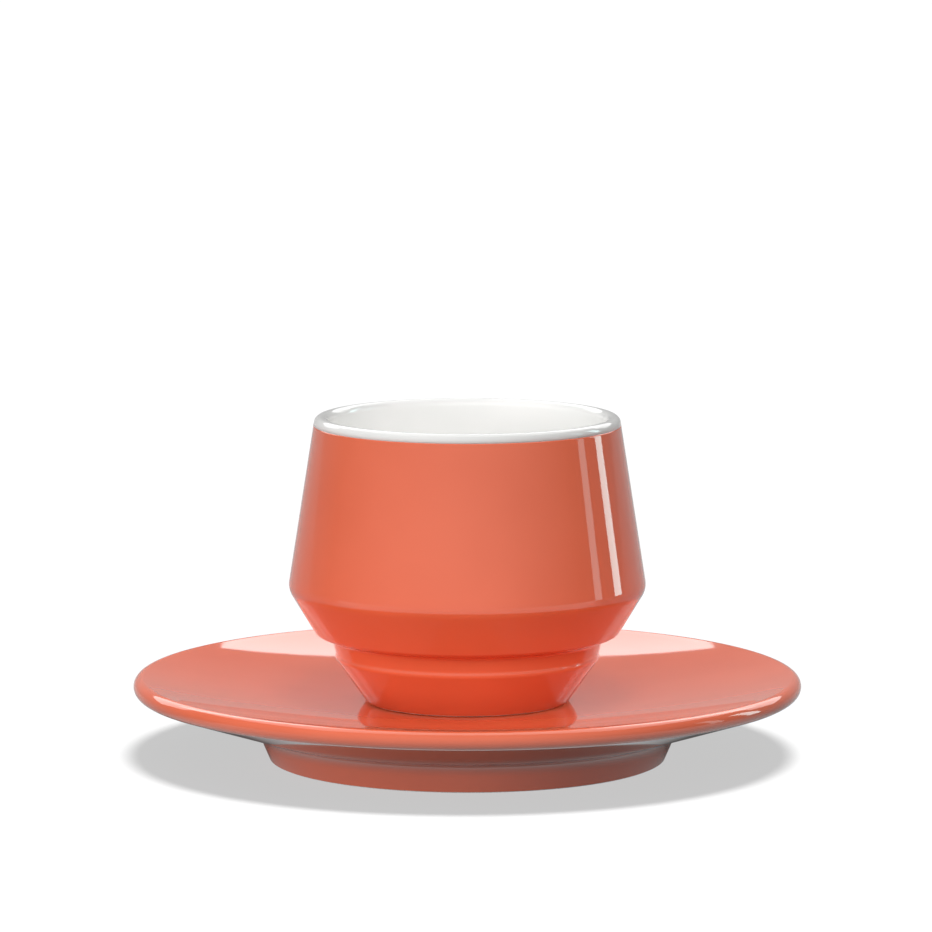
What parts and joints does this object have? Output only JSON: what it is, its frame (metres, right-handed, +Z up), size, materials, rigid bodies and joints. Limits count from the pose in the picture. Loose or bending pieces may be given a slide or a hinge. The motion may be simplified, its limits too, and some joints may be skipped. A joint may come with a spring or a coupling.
{
  "type": "double espresso cup with saucer",
  "caption": "Handleless glazed porcelain cup with a stepped foot for stacking and a white lip, standing on a round dished saucer with a foot ring; it holds a double espresso.",
  "frame": {"origin": "on the table, at the middle of the saucer's foot ring", "axes": "+Z up along the axis of the cup and saucer, which are bodies of revolution; +X and +Y are level and free to choose"},
  "size_m": [0.135, 0.135, 0.0696],
  "materials": {
    "porcelain_body": "fired white porcelain, bare and matt at the foot rings",
    "coral_glaze": "high-gloss opaque coral glaze",
    "white_glaze": "high-gloss white glaze"
  },
  "bodies": {
    "saucer": {"saucer_body": "porcelain_body", "saucer_coral_glaze": "coral_glaze", "saucer_recess_glaze": "coral_glaze"},
    "cup": {"cup_body": "porcelain_body", "cup_coral_glaze": "coral_glaze", "cup_white_glaze": "white_glaze", "cup_recess_glaze": "coral_glaze"}
  },
  "joints": [
    {"name": "cup_lift", "type": "slide", "parent": "saucer", "child": "cup", "axis": [0, 0, 1], "range_m": [0, 0.1]}
  ]
}
